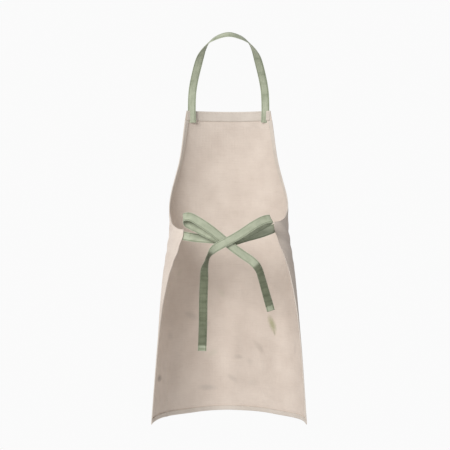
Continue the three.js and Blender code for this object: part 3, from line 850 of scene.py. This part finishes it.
def laid_tape(name, route, ripple, step=1.6, turn=None):
    """A tape along a route: each point has a place and the way the tape's width lies there.

    A tape with a turn is a tail: it has painted shade past that length and is hemmed at its end."""
    table = np.array([[*at, *across] for at, across in route], float)
    rough, length = curve_through(table, 200)
    rough, length = curve_through(table, max(int(length / step), 24))
    place = rough[:, :3]
    along = np.gradient(place, axis=0)
    along /= np.linalg.norm(along, axis=1)[:, None]
    across = rough[:, 3:]
    across = across - along * (across * along).sum(axis=1)[:, None]
    across /= np.linalg.norm(across, axis=1)[:, None]
    out = np.cross(across, along)
    run = np.linspace(0, length, len(place))
    press = ripple * (np.sin(run / 9.1 + len(name)) + 0.7 * np.sin(run / 4.3 + 2.0))
    thick = np.full(len(run), TAPE_THICK / 2)
    look = tape_look
    if turn is not None:
        look = tape_cloth(f"{name}_cloth", turn, length * MM)
        folded = smooth((run - length + FOLDED_END) / 1.5)
        thick = thick * (1 + 0.45 * folded)
        thick[-1] *= 0.4
    middle = place[:, None, :] + across[:, None, :] * (SECTION[None, :, None] * TAPE_WIDTH / 2)
    shift = press[:, None] * np.cos(SECTION * RIPPLE_FADE)[None, :]
    middle = middle + out[:, None, :] * shift[:, :, None]
    swell = out[:, None, :] * (thick[:, None] * FULLNESS[None, :])[:, :, None]
    flat = np.stack(np.broadcast_arrays(SECTION[None, :] * TAPE_WIDTH / 2, run[:, None]), axis=-1)
    piece = closed_slab(name, middle + swell, middle - swell, flat, look)
    return piece, length, (place, across, out, run, press)


def edge_stitches(name, laid, hem_end=False):
    """Edge stitching down both sides of a tape, and two rows across a hemmed end."""
    place, across, out, run, press = laid
    starts, ends, lifts = [], [], []
    first = np.arange(ROW_INSET, run[-1] - STITCH - ROW_INSET, STITCH_PITCH)
    for side in (-STITCH_ACROSS, STITCH_ACROSS):
        bend = (press * math.cos(side * RIPPLE_FADE))[:, None]
        for face in (1, -1):
            line = place + across * (side * TAPE_WIDTH / 2) + out * (bend + face * TAPE_THICK * 0.36)
            starts.append(places_at(first, run, line))
            ends.append(places_at(first + STITCH, run, line))
            lifts.append(places_at(first, run, out) * face)
    if hem_end:
        offsets = np.arange(-0.76, 0.62, 2 * STITCH_PITCH / TAPE_WIDTH)[:, None]
        for back in (15.5, 3.0):
            k = int(np.searchsorted(run, run[-1] - back))
            for face in (1, -1):
                origin = place[k] + out[k] * (press[k] + face * TAPE_THICK * 0.68)
                starts.append(origin + across[k] * offsets * TAPE_WIDTH / 2)
                ends.append(origin + across[k] * (offsets * TAPE_WIDTH / 2 + STITCH))
                lifts.append(np.repeat((out[k] * face)[None], len(offsets), axis=0))
    piece = stitched(name, starts, ends, lifts, tape_thread, TAPE_THREAD_RADIUS)
    return piece


# ---------------------------------------------------------------------------------------------
# Neck strap: one tape, its ends sewn inside the bib's upper hem. It rises over the shoulders and
# lies round the back of the neck.
# ---------------------------------------------------------------------------------------------
STRAP_SEAM = 30.0
STRAP_INSET = 4.0
strap_centre = BIB_HALF - STRAP_INSET - TAPE_WIDTH / 2
tape_mid = HEM_IN - GAP - TAPE_THICK / 2
sewn_z = np.array([HEM_TOP_Z - STRAP_SEAM, HEM_TOP_Z - 20, HEM_TOP_Z - 10, HEM_TOP_Z - 1.5])
sewn = on_cloth(np.full(4, strap_centre), sewn_z, np.full(4, tape_mid) - 0.4)
strap_left = [(tuple(p), (1, 0.0, 0.0)) for p in sewn]
strap_left += [
    ((100, -150, -135), (1, 0.1, 0.05)),
    ((84, -104, -70), (0.95, 0.2, 0.1)),
    ((70, -60, -38), (0.72, 0.3, -0.4)),
    ((52, -21, -20), (0.5, 0.5, -0.6)),
    ((27, -1, -9), (0.22, 0.68, -0.66)),
]
strap_right = [((-x, y, z), (-a, b, c)) for (x, y, z), (a, b, c) in reversed(strap_left)]
strap_right = [(at, tuple(-v for v in across)) for at, across in strap_right]
strap_route = strap_left + [((0, 5.3, -4), (0, 0.75, -0.66))]
strap_route += [(at, tuple(-v for v in across)) for at, across in strap_right]
strap, strap_length, strap_laid = laid_tape("neck_tape", strap_route, ripple=0.2)
strap_stitches = edge_stitches("neck_tape_stitches", strap_laid)
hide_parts("neck_strap", "left_strap_end", "right_strap_end")
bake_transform(strap)
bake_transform(strap_stitches)

# ---------------------------------------------------------------------------------------------
# Waist ties: each is one tape sewn inside its tie corner. Its first stretch lies along the waist
# to the knot at the middle of the back.
# ---------------------------------------------------------------------------------------------
knot = np.array(frame["joints"][1]["pos_m"]) / MM
TIE_SEAM = 28.0
TIE_DROP = 5.0
KNOT_CLEAR = 1
BAND_STEPS = 64
NARROWED = 0.30


def half_girth(z):
    """The way round the body from the centre front to the centre back."""
    width, depth = body_at(np.array([z]), 1)[0], body_at(np.array([z]), 2)[0]
    mid = (np.arange(ARC_STEPS) + 0.5) * math.pi / ARC_STEPS
    return float(np.hypot(width * np.cos(mid), depth * np.sin(mid)).sum() * math.pi / ARC_STEPS)


def tie_band(word, hand):
    """The tape from its sewn end inside the corner, along the waist, to the knot."""
    start, stop = CORNER_HALF - TIE_SEAM, half_girth(knot[2]) - KNOT_CLEAR
    start_z = CORNER_Z - TIE_DROP - TAPE_WIDTH / 2
    s = np.linspace(start, stop, BAND_STEPS)
    loose = np.maximum(0, (s - CORNER_HALF) / (stop - CORNER_HALF))
    lifted = 0 * s
    if hand < 0:
        lifted = HITCH * (1 - loose) - hitch_at(-s, np.full(BAND_STEPS, start_z))
    z = start_z + (knot[2] - start_z) * loose + lifted
    narrow = 1 - NARROWED * smooth((loose - 0.25) / 0.6)
    rows_s = np.broadcast_to((hand * s)[None, :], (len(SECTION), BAND_STEPS))
    rows_z = z[None, :] + SECTION[:, None] * (TAPE_WIDTH / 2) * narrow[None, :]
    ripple = 0.35 * np.sin(s / 6.3 + hand)[None, :] * np.cos(SECTION * 1.3)[:, None]
    middle = tape_mid + ripple
    thick = TAPE_THICK / 2 * FULLNESS[:, None] * np.ones((1, BAND_STEPS))
    points_in, points_out = (
        on_cloth(rows_s.ravel(), rows_z.ravel(), depth.ravel()).reshape(*rows_s.shape, 3)
        for depth in (middle - thick, middle + thick)
    )
    flat = np.stack([np.broadcast_to(SECTION[:, None] * TAPE_WIDTH / 2, rows_s.shape), rows_s], axis=-1)
    if hand < 0:
        points_in, points_out, flat = points_in[:, ::-1], points_out[:, ::-1], flat[:, ::-1]
    piece = closed_slab(f"{word}_tie_tape", points_out, points_in, flat, tape_look)
    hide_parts(f"{word}_tie_band")
    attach(piece, "apron")
    return piece


left_band = tie_band("left", 1)
right_band = tie_band("right", -1)

# ---------------------------------------------------------------------------------------------
# Bow: the tape from the left makes the left loop, goes under the crossing and hangs as the right
# tail. The tape from the right makes the right loop, crosses over and hangs as the left tail.
# ---------------------------------------------------------------------------------------------
# How far out from the knot's centre, away from the back, each layer lies: the loops' inner ends,
# the tape of the left tail, which crosses over, and that of the right tail, which goes under.
LOOP_IN = -5
TAIL_LEFT = 9
TAIL_RIGHT = 3


def from_knot(x, back, up):
    """A place from the knot's centre: to the wearer's left, away from the back, and up."""
    return (knot[0] + x, knot[1] + back, knot[2] + up)


left_loop_route = [
    (from_knot(2, TAIL_RIGHT, 1), (-0.60, 0, 0.80)),
    (from_knot(16, TAIL_RIGHT, 13), (-0.58, 0, 0.82)),
    (from_knot(38, TAIL_RIGHT + 2, 31), (-0.6, 0, 0.8)),
    (from_knot(72, TAIL_RIGHT + 3, 54), (-0.5, -0.1, 0.86)),
    (from_knot(97, TAIL_RIGHT, 66), (-0.25, -0.2, 0.95)),
    (from_knot(111, -6, 63), (0, -0.25, 0.97)),
    (from_knot(106, -14, 52), (0.2, -0.2, 0.97)),
    (from_knot(72, -13, 33), (-0.35, 0, 0.93)),
    (from_knot(40, -9, 17), (-0.45, 0, 0.9)),
    (from_knot(8, LOOP_IN, 3), (-0.4, 0, 0.92)),
]
right_loop_route = [
    (from_knot(0, TAIL_LEFT + 2, 0), (0.47, 0, 0.88)),
    (from_knot(-17, TAIL_LEFT + 1, 9), (0.5, 0, 0.86)),
    (from_knot(-42, TAIL_LEFT + 3, 24), (0.55, 0, 0.83)),
    (from_knot(-72, TAIL_LEFT + 3, 44), (0.55, 0, 0.83)),
    (from_knot(-100, TAIL_LEFT - 4, 58), (0.5, -0.1, 0.85)),
    (from_knot(-116, -2, 60), (0.45, -0.2, 0.87)),
    (from_knot(-109, -12, 52), (0.4, 0, 0.9)),
    (from_knot(-76, -13, 32), (0.4, 0, 0.9)),
    (from_knot(-42, -9, 15), (0.4, 0, 0.9)),
    (from_knot(-8, LOOP_IN, 2), (0.35, 0, 0.93)),
]
left_tail_route = [
    (from_knot(0, TAIL_LEFT + 2, 0), (0.47, 0, 0.88)),
    (from_knot(17, TAIL_LEFT + 1, -9), (0.5, 0, 0.86)),
    (from_knot(32, TAIL_LEFT, -19), (0.45, 0.35, 0.8)),
    (from_knot(44, TAIL_LEFT - 1, -34), (0.3, 0.85, 0.4)),
    (from_knot(51, TAIL_LEFT - 1, -52), (0.45, 0.85, 0.2)),
    (from_knot(56, TAIL_LEFT - 1, -72), (0.85, 0.5, 0.15)),
    (from_knot(57, TAIL_LEFT - 1, -98), (0.97, 0.22, 0.05)),
    (from_knot(59, TAIL_LEFT - 1, -150), (1, 0, 0)),
    (from_knot(60, TAIL_LEFT - 1, -215), (1, 0, 0)),
    (from_knot(62, TAIL_LEFT - 1, -281), (1, 0.05, 0.03)),
]
right_tail_route = [
    (from_knot(-2, TAIL_RIGHT, -1), (-0.6, 0, 0.8)),
    (from_knot(-16, TAIL_RIGHT, -13), (-0.6, 0, 0.8)),
    (from_knot(-42, TAIL_RIGHT, -32), (-0.6, 0, 0.8)),
    (from_knot(-70, TAIL_RIGHT, -52), (-0.62, 0, 0.78)),
    (from_knot(-84, TAIL_RIGHT, -70), (-0.75, -0.45, 0.5)),
    (from_knot(-93, TAIL_RIGHT, -97), (-0.85, -0.5, 0.3)),
    (from_knot(-105, TAIL_RIGHT - 1, -140), (-0.9, -0.4, 0.27)),
    (from_knot(-116, TAIL_RIGHT - 2, -178), (-0.93, -0.3, 0.27)),
]
BOW = [
    # name, route, node, body, way it leaves the knot, where its painted shade starts in metres, how held
    ("left_loop_tape", left_loop_route, "left_bow_loop", "left_loop", (1, 0.65), None, "folded"),
    ("right_loop_tape", right_loop_route, "right_bow_loop", "right_loop", (-1, 0.55), None, "folded"),
    ("left_tail_tape", left_tail_route, "left_tail", "left_tie_tail", (1, -0.55), 0.046, "hung"),
    ("right_tail_tape", right_tail_route, "right_tail", "right_tie_tail", (-1, -0.7), 0.093, "hung"),
]
for name, route, stands_for, body, (sideways, upwards), turn, held in BOW:
    tape, length, laid = laid_tape(name, route, ripple=0.35, turn=turn)
    stitches = edge_stitches(f"{name}_stitches", laid, hem_end=turn is not None)
    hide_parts(stands_for)
    for piece in (tape, stitches):
        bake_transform(piece)

# ---------------------------------------------------------------------------------------------
# Knot: one turn of the same sage tape, wound where the two ties cross. It lies behind the
# crossing and is hardly seen.
# ---------------------------------------------------------------------------------------------
WRAP_STEPS = 24
WRAP_DEEP = 6.5
WRAP_HIGH = 9.5
WRAP_IN = -3
WRAP_LEAN = 0.4
wrap_route = []
for k in range(WRAP_STEPS + 1):
    a = math.tau * k / WRAP_STEPS
    sideways, back = WRAP_IN * math.cos(a) * WRAP_LEAN, WRAP_IN + WRAP_DEEP * math.cos(a)
    wrap_route.append((from_knot(sideways, back, WRAP_HIGH * math.sin(a)), (1, 0, 0.28)))
wrap, wrap_length, _ = laid_tape("knot_wrap", wrap_route, ripple=0.15, step=1.2)
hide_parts("bow_knot")
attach(wrap, "apron")
